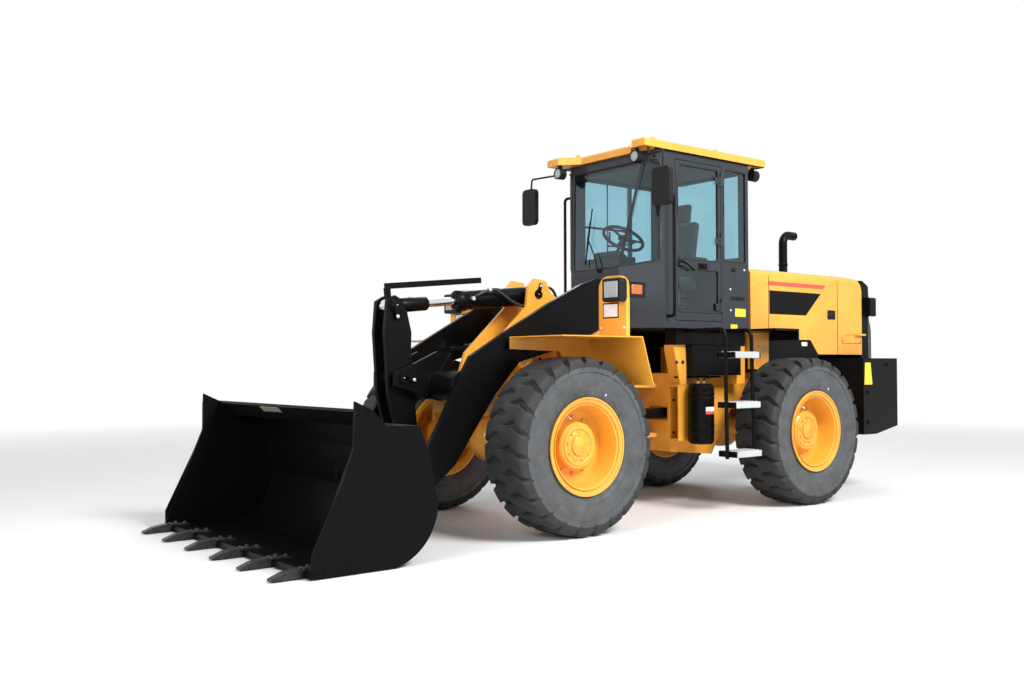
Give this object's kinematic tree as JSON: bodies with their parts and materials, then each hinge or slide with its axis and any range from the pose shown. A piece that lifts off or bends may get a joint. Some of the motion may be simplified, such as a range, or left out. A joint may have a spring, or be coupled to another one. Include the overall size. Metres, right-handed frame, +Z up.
{
  "type": "wheel loader",
  "caption": "Articulated wheel loader with Z-bar lift arms, toothed bucket on the ground, glazed cab, rear engine hood and counterweight.",
  "frame": {"origin": "on the ground plane, under the centre of the machine's overall length and width", "axes": "+X forward towards the bucket, +Y to the driver's left, +Z up"},
  "size_m": [7.228, 2.45, 3.2819],
  "materials": {
    "black_paint": "satin black paint",
    "cab_glass": "blue-green tinted safety glass",
    "cab_paint": "satin charcoal paint",
    "cast_weight": "painted black casting",
    "chrome_rod": "hard chrome rod",
    "engine_iron": "plain grey iron",
    "lamp_plastic": "lamp housing",
    "seat_fabric": "dark woven seat cover",
    "trim_plastic": "dark grained plastic",
    "tyre_rubber": "matte dark grey rubber",
    "yellow_paint": "gloss orange-yellow machine paint"
  },
  "bodies": {
    "wheel_front_left": {"tyre_front_left": "tyre_rubber", "rim_front_left": "yellow_paint"},
    "wheel_front_right": {"tyre_front_right": "tyre_rubber", "rim_front_right": "yellow_paint"},
    "wheel_rear_left": {"tyre_rear_left": "tyre_rubber", "rim_rear_left": "yellow_paint"},
    "wheel_rear_right": {"tyre_rear_right": "tyre_rubber", "rim_rear_right": "yellow_paint"},
    "front_body": {"front_frame": "yellow_paint", "front_axle": "yellow_paint", "front_fenders": "yellow_paint", "head_lamps": "lamp_plastic"},
    "lift_arm_body": {"lift_arms": "black_paint"},
    "bellcrank_body": {"bellcrank": "black_paint"},
    "link_body": {"bucket_link": "black_paint"},
    "bucket_body": {"bucket": "black_paint", "bucket_teeth": "black_paint"},
    "tilt_barrel_body": {"tilt_barrel": "black_paint"},
    "tilt_rod_body": {"tilt_rod": "chrome_rod", "level_rod": "black_paint"},
    "lift_barrel_body_left": {"lift_barrel_left": "black_paint"},
    "lift_rod_body_left": {"lift_rod_left": "chrome_rod"},
    "steer_barrel_body_left": {"steer_barrel_left": "black_paint"},
    "steer_rod_body_left": {"steer_rod_left": "chrome_rod"},
    "lift_barrel_body_right": {"lift_barrel_right": "black_paint"},
    "lift_rod_body_right": {"lift_rod_right": "chrome_rod"},
    "steer_barrel_body_right": {"steer_barrel_right": "black_paint"},
    "steer_rod_body_right": {"steer_rod_right": "chrome_rod"},
    "door_body": {"cab_door": "cab_paint", "door_glass": "cab_glass"},
    "rear_body": {"air_tanks": "black_paint", "cab_console": "trim_plastic", "cab_glass": "cab_glass", "cab_roof": "yellow_paint", "cab_seat": "seat_fabric", "cab_shell": "cab_paint", "counterweight": "cast_weight", "engine_block": "engine_iron", "exhaust_stack": "black_paint", "handrails": "black_paint", "hood": "yellow_paint", "ladders": "black_paint", "lifting_eyes": "black_paint", "mirrors": "black_paint", "rear_axle": "yellow_paint", "rear_fenders": "black_paint", "rear_frame": "yellow_paint", "rear_grille": "black_paint", "side_boxes": "black_paint", "steering_wheel": "trim_plastic", "work_lamps": "lamp_plastic"}
  },
  "joints": [
    {"name": "roll_front_left", "type": "hinge", "parent": "front_body", "child": "wheel_front_left", "pos_m": [1.096, 0.93, 0.67], "axis": [0, 1, 0], "continuous": true},
    {"name": "roll_front_right", "type": "hinge", "parent": "front_body", "child": "wheel_front_right", "pos_m": [1.096, -0.93, 0.67], "axis": [0, 1, 0], "continuous": true},
    {"name": "roll_rear_left", "type": "hinge", "parent": "rear_body", "child": "wheel_rear_left", "pos_m": [-1.724, 0.93, 0.67], "axis": [0, 1, 0], "continuous": true},
    {"name": "roll_rear_right", "type": "hinge", "parent": "rear_body", "child": "wheel_rear_right", "pos_m": [-1.724, -0.93, 0.67], "axis": [0, 1, 0], "continuous": true},
    {"name": "articulation", "type": "hinge", "parent": "rear_body", "child": "front_body", "pos_m": [-0.314, 0, 0.64], "axis": [0, 0, 1], "range_deg": [-35, 35]},
    {"name": "arm_lift", "type": "hinge", "parent": "front_body", "child": "lift_arm_body", "pos_m": [0.306, 0, 1.8], "axis": [0, -1, 0], "range_deg": [0, 84]},
    {"name": "bucket_tilt", "type": "hinge", "parent": "lift_arm_body", "child": "bucket_body", "pos_m": [2.346, 0, 0.3], "axis": [0, -1, 0], "range_deg": [-126, 44]},
    {"name": "bellcrank_swing", "type": "hinge", "parent": "lift_arm_body", "child": "bellcrank_body", "pos_m": [2.086, 0, 1.18], "axis": [0, -1, 0], "range_deg": [-11.94, 33.26]},
    {"name": "link_swing", "type": "hinge", "parent": "bucket_body", "child": "link_body", "pos_m": [2.471, 0, 0.615], "axis": [0, -1, 0], "range_deg": [-24.26, 68.54]},
    {"name": "lift_barrel_swing_left", "type": "hinge", "parent": "front_body", "child": "lift_barrel_body_left", "pos_m": [0.186, 0.29, 0.72], "axis": [0, -1, 0], "range_deg": [-0.5, 36.82]},
    {"name": "lift_rod_slide_left", "type": "slide", "parent": "lift_barrel_body_left", "child": "lift_rod_body_left", "axis": [0.8091, 0, 0.5877], "range_m": [-0.005, 0.7881]},
    {"name": "steer_barrel_swing_left", "type": "hinge", "parent": "rear_body", "child": "steer_barrel_body_left", "pos_m": [-0.744, 0.28, 0.84], "axis": [0, 0, 1], "range_deg": [-14.03, 14.03]},
    {"name": "steer_rod_slide_left", "type": "slide", "parent": "steer_barrel_body_left", "child": "steer_rod_body_left", "axis": [0.9996, 0.0286, 0], "range_m": [-0.1773, 0.1773]},
    {"name": "lift_barrel_swing_right", "type": "hinge", "parent": "front_body", "child": "lift_barrel_body_right", "pos_m": [0.186, -0.29, 0.72], "axis": [0, -1, 0], "range_deg": [-0.5, 36.82]},
    {"name": "lift_rod_slide_right", "type": "slide", "parent": "lift_barrel_body_right", "child": "lift_rod_body_right", "axis": [0.8091, 0, 0.5877], "range_m": [-0.005, 0.7881]},
    {"name": "steer_barrel_swing_right", "type": "hinge", "parent": "rear_body", "child": "steer_barrel_body_right", "pos_m": [-0.744, -0.28, 0.84], "axis": [0, 0, 1], "range_deg": [-14.03, 14.03]},
    {"name": "steer_rod_slide_right", "type": "slide", "parent": "steer_barrel_body_right", "child": "steer_rod_body_right", "axis": [0.9996, -0.0286, 0], "range_m": [-0.1773, 0.1773]},
    {"name": "tilt_barrel_swing", "type": "hinge", "parent": "front_body", "child": "tilt_barrel_body", "pos_m": [0.766, 0, 1.866], "axis": [0, -1, 0], "range_deg": [-0.5, 102.78]},
    {"name": "tilt_rod_slide", "type": "slide", "parent": "tilt_barrel_body", "child": "tilt_rod_body", "axis": [0.995, 0, -0.0995], "range_m": [-0.005, 0.3864]},
    {"name": "door_swing", "type": "hinge", "parent": "rear_body", "child": "door_body", "pos_m": [-1.034, 0.624, 2], "axis": [0, 0, 1], "range_deg": [0, 90]}
  ],
  "couplings": [
    {"joint": "bellcrank_swing", "follows": "bucket_tilt", "ratio": -0.26},
    {"joint": "link_swing", "follows": "bucket_tilt", "ratio": -0.54},
    {"joint": "lift_barrel_swing_left", "follows": "arm_lift", "ratio": 0.4324},
    {"joint": "lift_rod_slide_left", "follows": "arm_lift", "m_per_rad": 0.53412},
    {"joint": "steer_barrel_swing_left", "follows": "articulation", "ratio": 0.38669},
    {"joint": "steer_rod_slide_left", "follows": "articulation", "m_per_rad": -0.287},
    {"joint": "lift_barrel_swing_right", "follows": "arm_lift", "ratio": 0.4324},
    {"joint": "lift_rod_slide_right", "follows": "arm_lift", "m_per_rad": 0.53412},
    {"joint": "steer_barrel_swing_right", "follows": "articulation", "ratio": 0.38669},
    {"joint": "steer_rod_slide_right", "follows": "articulation", "m_per_rad": 0.287},
    {"joint": "tilt_barrel_swing", "follows": "arm_lift", "ratio": 1.2177},
    {"joint": "tilt_rod_slide", "follows": "arm_lift", "m_per_rad": 0.26017}
  ]
}
